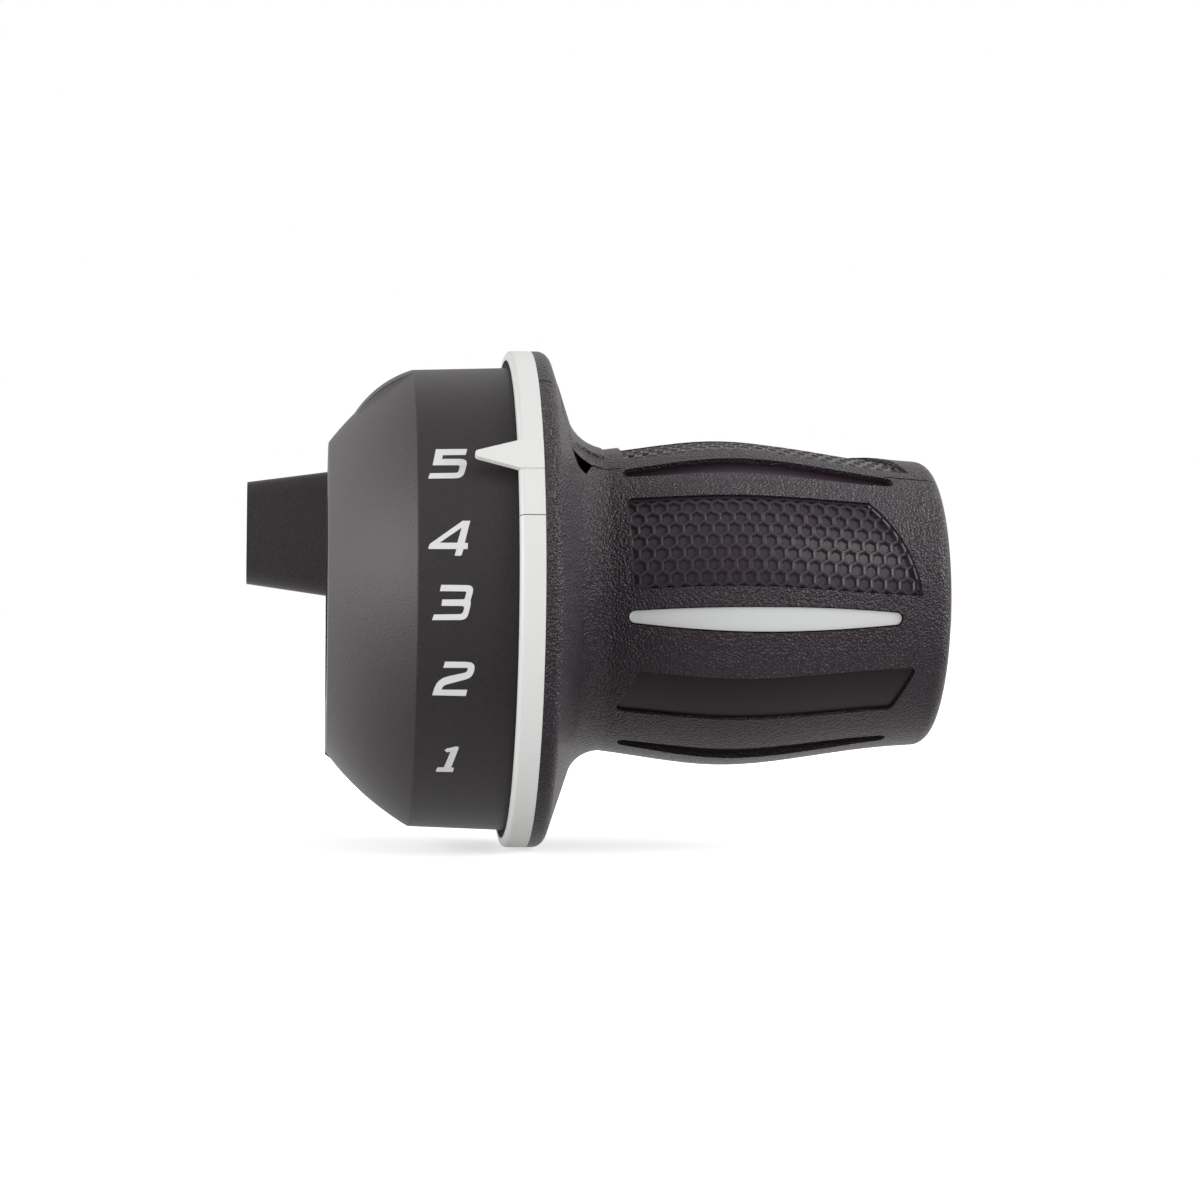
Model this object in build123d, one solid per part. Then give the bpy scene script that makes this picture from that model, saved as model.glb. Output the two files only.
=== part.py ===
from build123d import *
import os
from math import radians, sin

# Twist-grip gear shifter for a straight handlebar, in millimetres.
# X runs along the bar towards its end, Z is up and the rider's side is -Y.
# The origin is on the bar's axis, at the inner face of the clamped housing.
# An angle round the bar is 0 on the rider's side and grows towards the top.

# Handlebar, fits and clearances
BAR_DIAMETER = 22.2
CLAMP_CLEARANCE = 0.05    # radial, bar to the housing's clamp
GRIP_CLEARANCE = 0.25     # radial, bar to the turning tube
SPOOL_CLEARANCE = 0.08    # radial, hub to the spool that turns on it
RUNNING_GAP = 0.35        # between other faces that pass each other
SEAT_GAP = 0.1            # round a piece that is dropped or snapped in
OVERSHOOT = 1.0           # how far a cutter runs past the face that it opens

# Gears: the turn from each click to the next, starting at the highest gear
GEAR_STEPS = (19.5, 15.3, 18.3, 22.9)

# Housing
CLAMP_LENGTH = 8.2        # thick end that grips the bar
FACE_WALL = 5.65          # inner face, bore to rim
FACE_EDGE = 0.4           # rounding of that rim
SHOULDER_LENGTH = 8.95
SHOULDER_CROWN = 0.6      # how far the shoulder bulges past a straight cone
SHOULDER_EDGE = 0.3       # rounding between the shoulder and the band
BAND_LENGTH = 11.82       # the band that carries the gear numbers
BAND_FLARE = 0.45
BAND_WALL = 2.4
HUB_WALL = 2.05
CAVITY_CHAMFER = 1.5
FAIRING_START = 2.0       # along the shoulder, over the cable's way in
FAIRING_CROWN = 0.98
FAIRING_FROM = 76.0
FAIRING_TO = 205.0

# Cable spout at the back of the housing
SPOUT_LENGTH = 9.0
SPOUT_BACK = 18.1         # its axis behind and above the bar's axis
SPOUT_RISE = 7.2
SPOUT_END_HEIGHT = 11.6
SPOUT_END_DEPTH = 9.0
SPOUT_ROOT_HEIGHT = 16.4
SPOUT_ROOT_DEPTH = 11.0
SPOUT_CORNER = 1.6
CABLE_BORE = 5.2          # for the cable's outer casing
CABLE_SEAT = 12.0         # depth of that bore
WIRE_BORE = 2.0

# Clamp: slit, bolt and square nut
CLAMP_ANGLE = -122.0
SLIT_WIDTH = 1.4
BOLT_DIAMETER = 3.0
BOLT_CLEARANCE = 0.15
BOLT_TAIL = 1.0
HEAD_DIAMETER = 5.5
HEAD_HEIGHT = 3.0
HEAD_EDGE = 0.3
HEAD_WALL = 1.1           # housing left between the bolt's head and the bar
SOCKET_WIDTH = 2.5        # hexagon key, across flats
SOCKET_DEPTH = 1.6
EAR_THICKNESS = 3.0       # from the slit's middle to the head's or nut's seat
NUT_WIDTH = 5.5
NUT_THICKNESS = 1.8
BOSS_WALL = 2.4           # over the bolt's axis
BOSS_END = 1.2            # past the nut and past the head
BOSS_LIP = 0.9            # at the inner face, past its rim

# Cable spool, its clip and the detent spring
SPOOL_FLANGE = 0.8
GROOVE_WIDTH = 2.6
GROOVE_WALL = 2.4
CABLE_DEPTH = 1.9
RIM_STEP = 1.3            # detent rim above the cable flanges
NOTCH_DIAMETER = 2.4
NOTCH_DEPTH = 0.9
STOP_HEIGHT = 2.6
STOP_WIDTH = 10.0         # degrees
STOP_ANGLE = 38.0
STOP_GAP = 1.4            # stop to the inside of the band
STOP_PLAY = 1.0           # degrees left at each end of the travel
RIB_WIDTH = 9.0           # degrees
CABLE_HEAD_BORE = 4.4
CABLE_HEAD_RISE = 0.5     # of the cable head's axis above the groove
CABLE_HEAD_ANGLE = 70.0
DOG_COUNT = 3
DOG_WIDTH = 26.0          # degrees
DOG_PLAY = 1.0            # degrees
DOG_DEPTH = 2.3
DOG_ANGLE = 130.0         # of the first dog
CLIP_THICKNESS = 0.6
CLIP_DEPTH = 0.6          # how deep the clip sits in the hub
CLIP_RISE = 0.9           # how far it stands out of the hub
CLIP_OPENING = 70.0       # degrees
SPRING_ANGLE = 180.0
SPRING_THICKNESS = 0.4
SPRING_WIDTH = 4.0
SPRING_HALF_SPAN = 8.5
SPRING_KNEE = 2.4         # half width of the hump
SPRING_HUMP = 1.5         # how far the hump drops below its knees
SPRING_STOP = 1.2         # thickness of the ribs at the spring's ends
SPRING_STOP_HEIGHT = 3.2  # from the inside of the band, behind the spring's middle

# Grip tube
TUBE_WALL = 1.65
COLLAR_LENGTH = 3.4
COLLAR_WALL = 1.3         # outside the drive dogs
FLANGE_GAP = 0.4          # band to flange
FLANGE_THICKNESS = 1.7
TUBE_NECK = 3.2           # cone behind the flange
NECK_DROP = 2.6
END_BEAD = 1.2
END_BEAD_LENGTH = 1.4
DRIVE_RIB_COUNT = 3       # they key the rubber to the tube
DRIVE_RIB_HEIGHT = 0.9
DRIVE_RIB_WIDTH = 2.4
PORT_DIAMETER = 5.2       # hole for threading in a new cable

# Indicator ring
RING_GAP = 0.8            # all round the band
RING_THICKNESS = 1.0
RING_LAP = 1.65           # over the end of the band
RING_SEAT = 0.55          # visible past the flange's face
RING_FOOT = 0.6           # thickness of the foot held under the rubber
RING_EDGE = 0.6
RING_SPLIT = 0.12
RING_SPLIT_ANGLE = 18.4
POINTER_ANGLE = 33.0
POINTER_LENGTH = 5.05
POINTER_BASE = 3.4
POINTER_TIP = 0.45        # radius
POINTER_RISE = 0.1        # above the ring
POINTER_THICKNESS = 0.55

# Rubber sleeve: rim, neck, belly and end
GRIP_LENGTH = 44.3        # from the ring to the end
RIM_WIDTH = 1.6
RIM_ROUND = 1.3
FLANGE_RUN = 3.55         # how far along the bar the flange's back slopes
NECK_ROUND = 4.0
NECK_RUN = 7.98           # from the ring to the thinnest place
NECK_RUBBER = 3.5
NECK_SLOPE = 0.12
FOOT_RISE = 0.35          # where the flange's back ends, above the thinnest place
BELLY_RUN = 12.5          # from the thinnest place to the thickest
BELLY_RUBBER = 5.0
END_RUBBER = 2.72
END_SLOPE = -0.05
END_ROUND = 1.7
END_LIP = 0.9             # rubber past the end of the tube

# Sleeve: slots, honeycomb pockets and label pocket
SLOT_COUNT = 6
SLOT_ANGLE = -6.0
SLOT_START = 1.5          # from the thinnest place
SLOT_END = 5.5            # from the end of the grip
SLOT_WIDTH = 2.8
SLOT_TIP = 0.78           # radius
SLOT_DEPTH = 0.8
STRIP_DEPTH = 1.5         # of the slot that holds the light strip
STRIP_MARGIN = 0.14       # slot wall to the strip
STRIP_SUNK = 0.35
CELL_ANGLES = (22.0, 82.0, 142.0, 202.0)
CELL_START = 1.6
CELL_LEAN = 0.4           # of the near edge
CELL_END_LOW = 3.35       # from the end of the grip, at the lower edge
CELL_END_HIGH = 8.65
CELL_WIDTH = 10.4
CELL_CORNER = 0.7
CELL_BULGE = 0.9          # of the curved end
CELL_DEPTH = 1.0
LABEL_ANGLE = -35.5
LABEL_START = 0.55
LABEL_END = 5.85
LABEL_LEAN = 2.3          # how far the upper edge is moved along
LABEL_WIDTH = 5.5
LABEL_CORNER = 0.6
LABEL_DEPTH = 0.95
LABEL_SUNK = 0.4

# Cable flap over the threading port
FLAP_ANGLE = 80.0
FLAP_BACK = 0.06          # past the flange's back
FLAP_RISE = 0.1           # above the thinnest place
FLAP_ROUND = 5.2
FLAP_STEP = 0.22          # from the raised panel to the flap's border
FLAP_THICKNESS = 0.95
# Sides as seen by their cutters: along the bar from the ring, and across it
FLAP_SIDE_TURN = -80.0    # of a cutter from the flap's middle
FLAP_SIDE = ((2.4, 20.5), (3.5, 16.8), (4.0, 16.0), (5.05, 15.1), (6.3, 14.35), (9.0, 13.9))
PANEL_SIDE_TURN = 30.0
PANEL_SIDE = ((2.75, -19.5), (3.6, -17.2), (4.7, -13.5), (5.6, -12.15), (6.65, -11.5), (7.9, -11.2))

# Hole beside the flap, its corners along the bar from the ring, and across it
MOUTH_ANGLE = 52.0
MOUTH_DEPTH = 2.5
MOUTH_RIGHT = 6.35
MOUTH_LOWER = ((3.2, -1.1), (3.5, -1.8), (4.5, -0.9), (5.4, -0.85))
MOUTH_UPPER = ((MOUTH_RIGHT, 1.8), (MOUTH_RIGHT, 4.0), (3.6, 4.0))

# Seam left by the mould
PARTING_ANGLE = 57.7
PARTING_WIDTH = 0.2
PARTING_DEPTH = 0.25

# Radii, from the bar outwards
bore_r = BAR_DIAMETER / 2 + CLAMP_CLEARANCE
hub_r = bore_r + HUB_WALL
spool_bore_r = hub_r + SPOOL_CLEARANCE
groove_r = spool_bore_r + GROOVE_WALL
spool_flange_r = groove_r + CABLE_DEPTH
detent_r = spool_flange_r + RIM_STEP
stop_r = detent_r + STOP_HEIGHT
cavity_r = stop_r + STOP_GAP
band_r = cavity_r + BAND_WALL
shoulder_r = band_r - BAND_FLARE
face_r = bore_r + FACE_WALL
clip_r = hub_r + CLIP_RISE
clip_room_r = clip_r + RUNNING_GAP
dog_in_r = clip_room_r + SEAT_GAP
dog_out_r = dog_in_r + DOG_DEPTH
collar_r = dog_out_r + COLLAR_WALL
port_r = groove_r + CABLE_HEAD_RISE
ring_bore_r = band_r + RING_GAP
ring_r = ring_bore_r + RING_THICKNESS
foot_r = ring_bore_r - RING_FOOT
flange_r = foot_r - SEAT_GAP
tube_bore_r = BAR_DIAMETER / 2 + GRIP_CLEARANCE
tube_r = tube_bore_r + TUBE_WALL
lip_r = tube_bore_r + GRIP_CLEARANCE
neck_r = tube_r + NECK_RUBBER
belly_r = tube_r + BELLY_RUBBER
end_r = tube_r + END_RUBBER

# Places along the bar
shoulder_end = SHOULDER_LENGTH
band_end = shoulder_end + BAND_LENGTH
flange_left = band_end + FLANGE_GAP
flange_right = flange_left + FLANGE_THICKNESS
ring_left = band_end - RING_LAP
ring_right = flange_left + RING_SEAT
collar_left = flange_left - COLLAR_LENGTH
spool_left = CLAMP_LENGTH + RUNNING_GAP
spool_right = collar_left - RUNNING_GAP
groove_left = spool_left + SPOOL_FLANGE
groove_right = groove_left + GROOVE_WIDTH
rim_left = groove_right + SPOOL_FLANGE
hub_end = spool_right - SEAT_GAP
clip_right = hub_end - CLIP_THICKNESS / 2
clip_left = clip_right - CLIP_THICKNESS
clip_room_left = clip_left - RUNNING_GAP
neck_x = ring_right + NECK_RUN
belly_x = neck_x + BELLY_RUN
grip_end = ring_right + GRIP_LENGTH
tube_end = grip_end - END_LIP

# Travel of the grip, and the clamp bolt
travel = sum(GEAR_STEPS)
bolt_x = CLAMP_LENGTH / 2
bolt_r = bore_r + HEAD_WALL + HEAD_DIAMETER / 2 + SEAT_GAP


FROM_END = (Align.CENTER, Align.CENTER, Align.MIN)


def at_angle(angle):
    """Turn what was drawn on the rider's side to an angle round the bar."""
    return Rot(X=-angle)


def turned(outline):
    """Solid of revolution about the bar from a closed outline of (x, radius)."""
    return revolve(Plane.XZ * make_face(outline), Axis.X)


def sector(outline, angle, width):
    """Part of a revolution, as wide as some degrees, with its middle at an angle."""
    wedge = revolve(Plane.XZ * make_face(outline), Axis.X, revolution_arc=width)
    return at_angle(angle - 90 + width / 2) * wedge


def box_outline(left, right, inner, outer):
    return Polyline((left, inner), (right, inner), (right, outer), (left, outer), close=True)


def block(left, right, inner, outer, low, high, angle):
    """Box between two radii; low and high are its sides along the turning way."""
    box = Box(right - left, outer - inner, high - low, align=Align.MIN)
    return at_angle(angle) * Pos(left, -outer, low) * box


def along_bar(radius, left, right, distance, angle):
    """Cylinder parallel to the bar, at a distance from its axis."""
    rod = Cylinder(radius, right - left, align=FROM_END)
    return at_angle(angle) * Pos(left, -distance, 0) * Rot(Y=90) * rod


def across_bar(radius, start, end):
    """Cylinder on the clamp bolt's axis, from one place on it to another."""
    rod = Cylinder(radius, end - start, align=FROM_END)
    return at_angle(CLAMP_ANGLE) * Pos(bolt_x, -bolt_r, start) * rod


def shoulder_point(x):
    """Point on the straight cone inside the shoulder."""
    return Vector(x, face_r + (shoulder_r - face_r) * x / shoulder_end)


def shoulder_arc(left, crown):
    """The shoulder's outline from a place on, bulging by a crown past the straight cone."""
    start = shoulder_point(left)
    end = shoulder_point(shoulder_end)
    outwards = Vector(start.Y - end.Y, end.X - start.X).normalized()
    return ThreePointArc(start, (start + end) / 2 + outwards * crown, end)


def spout_section(x, height, depth):
    plane = Plane(origin=(x, SPOUT_BACK, SPOUT_RISE), x_dir=(0, 1, 0), z_dir=(1, 0, 0))
    return plane * RectangleRounded(depth, height, SPOUT_CORNER)


def spring_plane(x):
    """Plane across the bar, with its Y pointing out from the bar."""
    return Plane(origin=(x, 0, 0), x_dir=(0, 0, 1), z_dir=(1, 0, 0))


def make_housing():
    body = turned([
        shoulder_arc(0, SHOULDER_CROWN),
        Polyline(
            (shoulder_end, shoulder_r),
            (band_end, band_r),
            (band_end, bore_r),
            (0, bore_r),
            (0, face_r),
        ),
    ])
    body = fillet(body.edges().group_by(Axis.X)[0].sort_by(SortBy.RADIUS)[-1], FACE_EDGE)
    crease = body.edges().filter_by_position(Axis.X, shoulder_end - SEAT_GAP, shoulder_end + SEAT_GAP)
    body = fillet(crease, SHOULDER_EDGE)
    fairing = [
        shoulder_arc(FAIRING_START, FAIRING_CROWN),
        Line(shoulder_point(shoulder_end), shoulder_point(FAIRING_START)),
    ]
    body += sector(fairing, (FAIRING_FROM + FAIRING_TO) / 2, FAIRING_TO - FAIRING_FROM)
    body += loft([
        spout_section(-SPOUT_LENGTH, SPOUT_END_HEIGHT, SPOUT_END_DEPTH),
        spout_section(CLAMP_LENGTH, SPOUT_ROOT_HEIGHT, SPOUT_ROOT_DEPTH),
    ])
    boss_end = EAR_THICKNESS + NUT_THICKNESS + BOSS_END
    boss = block(0, CLAMP_LENGTH, bore_r, bolt_r + BOSS_WALL, -boss_end, boss_end, CLAMP_ANGLE)
    body += boss & turned(Polyline(
        (0, 0),
        (0, face_r + BOSS_LIP),
        (CLAMP_LENGTH, shoulder_r),
        (CLAMP_LENGTH, 0),
        close=True,
    ))
    # The bore, and the room for the spool round the hub
    body -= turned(box_outline(-OVERSHOOT, CLAMP_LENGTH + OVERSHOOT, 0, bore_r))
    body -= turned(Polyline(
        (CLAMP_LENGTH, hub_r),
        (CLAMP_LENGTH, cavity_r - CAVITY_CHAMFER),
        (CLAMP_LENGTH + CAVITY_CHAMFER, cavity_r),
        (band_end + OVERSHOOT, cavity_r),
        (band_end + OVERSHOOT, 0),
        (hub_end, 0),
        (hub_end, hub_r),
        close=True,
    ))
    body -= turned(box_outline(clip_left, clip_right, hub_r - CLIP_DEPTH, hub_r + OVERSHOOT))
    # The cable's way in
    cable_axis = Pos(-SPOUT_LENGTH - OVERSHOOT, SPOUT_BACK, SPOUT_RISE) * Rot(Y=90)
    body -= cable_axis * Cylinder(CABLE_BORE / 2, CABLE_SEAT + OVERSHOOT, align=FROM_END)
    wire_length = SPOUT_LENGTH + CLAMP_LENGTH + 2 * OVERSHOOT
    body -= cable_axis * Cylinder(WIRE_BORE / 2, wire_length, align=FROM_END)
    # Slit, bolt hole, way in for the key and pocket for the nut
    body -= block(-OVERSHOOT, CLAMP_LENGTH, 0, ring_r, -SLIT_WIDTH / 2, SLIT_WIDTH / 2, CLAMP_ANGLE)
    body -= across_bar(BOLT_DIAMETER / 2 + BOLT_CLEARANCE, -EAR_THICKNESS, bolt_end + BOLT_CLEARANCE)
    body -= across_bar(HEAD_DIAMETER / 2 + SEAT_GAP, -ring_r, -EAR_THICKNESS)
    nut_half = NUT_WIDTH / 2 + SEAT_GAP
    body -= block(
        -OVERSHOOT, bolt_x + nut_half, bolt_r - nut_half, bolt_r + nut_half,
        EAR_THICKNESS, EAR_THICKNESS + NUT_THICKNESS + SEAT_GAP, CLAMP_ANGLE,
    )
    # Ribs that stop the spool at the first and last gear
    rib_offset = (STOP_WIDTH + RIB_WIDTH) / 2 + STOP_PLAY
    rib = box_outline(rim_left, spool_right, detent_r + RUNNING_GAP, cavity_r + BAND_WALL / 2)
    body += sector(rib, STOP_ANGLE + rib_offset, RIB_WIDTH)
    body += sector(rib, STOP_ANGLE - travel - rib_offset, RIB_WIDTH)
    # Ribs that hold the ends of the spring
    reach = SPRING_HALF_SPAN + SEAT_GAP
    stop_room = turned(box_outline(spring_left, spring_right, 0, cavity_r + BAND_WALL / 2))
    for low in (reach, -reach - SPRING_STOP):
        inner = cavity_r - SPRING_STOP_HEIGHT
        stop = block(spring_left, spring_right, inner, cavity_r, low, low + SPRING_STOP, SPRING_ANGLE)
        body += stop & stop_room
    return body


def make_clamp_bolt():
    bolt = across_bar(BOLT_DIAMETER / 2, -EAR_THICKNESS, bolt_end)
    head = across_bar(HEAD_DIAMETER / 2, -EAR_THICKNESS - HEAD_HEIGHT, -EAR_THICKNESS)
    key_plane = at_angle(CLAMP_ANGLE) * Pos(bolt_x, -bolt_r, -EAR_THICKNESS - HEAD_HEIGHT)
    socket = extrude(RegularPolygon(SOCKET_WIDTH / 2, 6, major_radius=False), SOCKET_DEPTH)
    return bolt + fillet(head.edges().filter_by(GeomType.CIRCLE), HEAD_EDGE) - key_plane * socket


def make_clamp_nut():
    half = NUT_WIDTH / 2
    low = EAR_THICKNESS
    high = low + NUT_THICKNESS
    nut = block(bolt_x - half, bolt_x + half, bolt_r - half, bolt_r + half, low, high, CLAMP_ANGLE)
    return nut - across_bar(BOLT_DIAMETER / 2, low - OVERSHOOT, high + OVERSHOOT)


def make_retaining_clip():
    outline = box_outline(clip_left, clip_right, hub_r - CLIP_DEPTH, clip_r)
    return sector(outline, CLAMP_ANGLE, 360 - CLIP_OPENING)


def make_detent_spring():
    tip_r = (cavity_r**2 - SPRING_HALF_SPAN**2) ** 0.5 - SPRING_THICKNESS
    hump = detent_r - NOTCH_DEPTH + SPRING_THICKNESS
    path = FilletPolyline(
        (-SPRING_HALF_SPAN, tip_r),
        (-SPRING_KNEE, hump + SPRING_HUMP),
        (0, hump),
        (SPRING_KNEE, hump + SPRING_HUMP),
        (SPRING_HALF_SPAN, tip_r),
        radius=(NOTCH_DIAMETER, NOTCH_DIAMETER / 2, NOTCH_DIAMETER),
    )
    leaf = extrude(spring_plane(spring_left) * trace(path, SPRING_THICKNESS), SPRING_WIDTH)
    return at_angle(SPRING_ANGLE) * leaf


def make_cable_spool():
    lip = SPOOL_FLANGE / 2
    spool = turned(Polyline(
        (spool_left, spool_bore_r),
        (spool_left, spool_flange_r),
        (groove_left - lip, spool_flange_r),
        (groove_left, groove_r),
        (groove_right, groove_r),
        (groove_right + lip, spool_flange_r),
        (rim_left, spool_flange_r),
        (rim_left, detent_r),
        (spool_right, detent_r),
        (spool_right, clip_room_r),
        (clip_room_left, clip_room_r),
        (clip_room_left, spool_bore_r),
        close=True,
    ))
    notch_distance = detent_r - NOTCH_DEPTH + NOTCH_DIAMETER / 2
    for gear in range(len(GEAR_STEPS) + 1):
        angle = SPRING_ANGLE + sum(GEAR_STEPS[:gear])
        spool -= along_bar(NOTCH_DIAMETER / 2, rim_left, spool_right, notch_distance, angle)
    stop = box_outline(rim_left + RUNNING_GAP, spool_right - RUNNING_GAP, groove_r, stop_r)
    spool += sector(stop, STOP_ANGLE, STOP_WIDTH)
    for dog in range(DOG_COUNT):
        outline = box_outline(spool_right, flange_left - RUNNING_GAP, dog_in_r, dog_out_r)
        spool += sector(outline, DOG_ANGLE + dog * 360 / DOG_COUNT, DOG_WIDTH)
    # The seat of the cable's head, and the wire's way from it to the groove
    spool -= along_bar(CABLE_HEAD_BORE / 2, rim_left, spool_right + OVERSHOOT, port_r, CABLE_HEAD_ANGLE)
    spool -= along_bar(WIRE_BORE / 2, groove_right - lip, rim_left + OVERSHOOT, port_r, CABLE_HEAD_ANGLE)
    return spool


def make_grip_tube():
    tube = turned(Polyline(
        (collar_left, tube_bore_r),
        (collar_left, collar_r),
        (flange_left, collar_r),
        (flange_left, flange_r),
        (flange_right, flange_r),
        (flange_right, tube_r + NECK_DROP),
        (flange_right + TUBE_NECK, tube_r),
        (tube_end - END_BEAD_LENGTH, tube_r),
        (tube_end - END_BEAD_LENGTH, tube_r + END_BEAD),
        (tube_end, tube_r + END_BEAD),
        (tube_end, tube_bore_r),
        close=True,
    ))
    dog_room = box_outline(
        collar_left - OVERSHOOT, flange_left, dog_in_r - SEAT_GAP, dog_out_r + SEAT_GAP,
    )
    for dog in range(DOG_COUNT):
        tube -= sector(dog_room, DOG_ANGLE + dog * 360 / DOG_COUNT, DOG_WIDTH + DOG_PLAY)
    half = DRIVE_RIB_WIDTH / 2
    rib_inner = tube_bore_r + TUBE_WALL / 2
    rib_outer = tube_r + DRIVE_RIB_HEIGHT
    for rib in range(DRIVE_RIB_COUNT):
        angle = CELL_ANGLES[0] + rib * 360 / DRIVE_RIB_COUNT
        tube += block(neck_x, tube_end - END_BEAD_LENGTH, rib_inner, rib_outer, -half, half, angle)
    tube -= along_bar(PORT_DIAMETER / 2, collar_left - OVERSHOOT, neck_x, port_r, CABLE_HEAD_ANGLE)
    return tube


def barrel_line(inset):
    """The grip's outline from its thinnest place to its end, moved in by a depth."""
    return Spline(
        (neck_x, neck_r - inset),
        (belly_x, belly_r - inset),
        (grip_end - END_ROUND, end_r - inset),
        tangents=((1, NECK_SLOPE), (1, END_SLOPE)),
    )


def outside_barrel(inset):
    """All that lies outside the grip's outline moved in by a depth."""
    right = grip_end - END_ROUND
    return turned([
        barrel_line(inset),
        Polyline((right, end_r - inset), (right, ring_r), (neck_x, ring_r), (neck_x, neck_r - inset)),
    ])


def prism(outline, angle):
    """Upright cutter over an outline of (x, height) that faces out at an angle."""
    return at_angle(angle) * extrude(Plane.XZ * make_face(outline), ring_r)


def lens_outline(margin):
    """Outline of a slot: two long arcs between round tips, moved in by a margin."""
    left = neck_x + SLOT_START + margin
    right = grip_end - SLOT_END - margin
    half = SLOT_WIDTH / 2 - margin
    tip = SLOT_TIP - margin
    upper = ThreePointArc((left + tip, tip), (belly_x + tip, half), (right - tip, tip))
    lower = ThreePointArc((right - tip, -tip), (belly_x + tip, -half), (left + tip, -tip))
    right_tip = ThreePointArc((right - tip, tip), (right, 0), (right - tip, -tip))
    left_tip = ThreePointArc((left + tip, -tip), (left, 0), (left + tip, tip))
    return [upper, right_tip, lower, left_tip]


def cell_outline():
    """Outline of a honeycomb pocket, whose far end is cut back along a curve."""
    left = neck_x + CELL_START
    low_right = Vector(grip_end - CELL_END_LOW, -CELL_WIDTH / 2)
    high_right = Vector(grip_end - CELL_END_HIGH, CELL_WIDTH / 2)
    bulge = Vector(high_right.Y - low_right.Y, low_right.X - high_right.X).normalized() * CELL_BULGE
    far_end = ThreePointArc(low_right, (low_right + high_right) / 2 + bulge, high_right)
    near_end = FilletPolyline(
        high_right,
        (left, high_right.Y),
        (left + CELL_LEAN, low_right.Y),
        low_right,
        radius=CELL_CORNER,
    )
    return [far_end, near_end]


def label_outline(margin):
    """Outline of the label's pocket, a slanted strip."""
    left = neck_x + LABEL_START + margin
    right = grip_end - LABEL_END - margin
    half = LABEL_WIDTH / 2 - margin
    return FilletPolyline(
        (left, -half),
        (right, -half),
        (right + LABEL_LEAN, half),
        (left + LABEL_LEAN, half),
        radius=LABEL_CORNER,
        close=True,
    )


def neck_line():
    """Outline of the rim and the flange's back, down to the thinnest place."""
    rim_right = ring_right + RIM_WIDTH
    return FilletPolyline(
        (ring_right, ring_r),
        (rim_right, ring_r),
        (rim_right + FLANGE_RUN, neck_r + FOOT_RISE),
        (neck_x, neck_r),
        radius=(RIM_ROUND, NECK_ROUND),
    )


def flap_core(drop):
    """All that lies under the flap's outside moved in by a depth, over half a turn."""
    back = ring_right + RIM_WIDTH + FLAP_BACK - drop
    height = neck_r + FLAP_RISE - drop
    right = neck_x + SLOT_START
    top = FilletPolyline(
        (back, ring_r),
        (back + FLANGE_RUN, height),
        (right, height),
        radius=FLAP_ROUND + drop,
    )
    below = Polyline(top @ 1, (right, 0), (0, 0), (0, ring_r), top @ 0)
    return sector([top, below], FLAP_ANGLE, 180)


def flap_layer(drop, side, turn):
    """Part of the flap between a side and its mirror image, down from a depth."""
    layer = flap_core(drop) - flap_core(FLAP_THICKNESS)
    for sign in (1, -1):
        line = [(ring_right + x, sign * across) for x, across in side]
        corners = line + [(line[-1][0], sign * ring_r), (line[0][0], sign * ring_r)]
        cutter = extrude(Plane.XZ * make_face(Polyline(*corners, close=True)), ring_r, both=True)
        layer &= at_angle(FLAP_ANGLE + sign * turn) * cutter
    return layer


def make_grip_sleeve(tube):
    round_middle = END_ROUND * (1 - sin(radians(45)))
    sleeve = turned([
        neck_line(),
        barrel_line(0),
        ThreePointArc(
            (grip_end - END_ROUND, end_r),
            (grip_end - round_middle, end_r - round_middle),
            (grip_end, end_r - END_ROUND),
        ),
        Polyline(
            (grip_end, end_r - END_ROUND),
            (grip_end, lip_r),
            (flange_right, lip_r),
            (flange_right, ring_bore_r + SEAT_GAP),
            (ring_right, ring_bore_r + SEAT_GAP),
            (ring_right, ring_r),
        ),
    ])
    # The hole for a new cable, and the flap that covers most of it
    corners = [(ring_right + x, across) for x, across in MOUTH_LOWER + MOUTH_UPPER]
    mouth = prism(Polyline(*corners, close=True), MOUTH_ANGLE)
    sleeve -= mouth & turned(box_outline(0, grip_end, neck_r - MOUTH_DEPTH, ring_r))
    sleeve -= along_bar(PORT_DIAMETER / 2, flange_left, ring_right + MOUTH_RIGHT, port_r, CABLE_HEAD_ANGLE)
    sleeve += flap_layer(FLAP_STEP, FLAP_SIDE, FLAP_SIDE_TURN)
    sleeve += flap_layer(0, PANEL_SIDE, PANEL_SIDE_TURN)
    # Slots and pockets
    sleeve -= prism(lens_outline(0), SLOT_ANGLE) & outside_barrel(STRIP_DEPTH)
    slot_room = outside_barrel(SLOT_DEPTH)
    for slot in range(1, SLOT_COUNT):
        sleeve -= prism(lens_outline(0), SLOT_ANGLE + slot * 360 / SLOT_COUNT) & slot_room
    cell_room = outside_barrel(CELL_DEPTH)
    for angle in CELL_ANGLES:
        sleeve -= prism(cell_outline(), angle) & cell_room
    sleeve -= prism(label_outline(0), LABEL_ANGLE) & outside_barrel(LABEL_DEPTH)
    # The mould's seam on the rim, beside the flap and past the slot
    half = PARTING_WIDTH / 2
    seam_r = ring_r - PARTING_DEPTH
    rim_right = ring_right + RIM_WIDTH
    sleeve -= block(ring_right, rim_right, seam_r, ring_r + OVERSHOOT, -half, half, PARTING_ANGLE)
    seam_left = ring_right + MOUTH_RIGHT
    seam_r = neck_r - PARTING_DEPTH
    sleeve -= block(seam_left, neck_x + SLOT_START, seam_r, ring_r, -half, half, PARTING_ANGLE)
    seam_left = grip_end - SLOT_END - SLOT_TIP
    seam_r = end_r - PARTING_DEPTH
    sleeve -= block(seam_left, grip_end, seam_r, ring_r, -half, half, PARTING_ANGLE)
    return sleeve - tube


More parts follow.
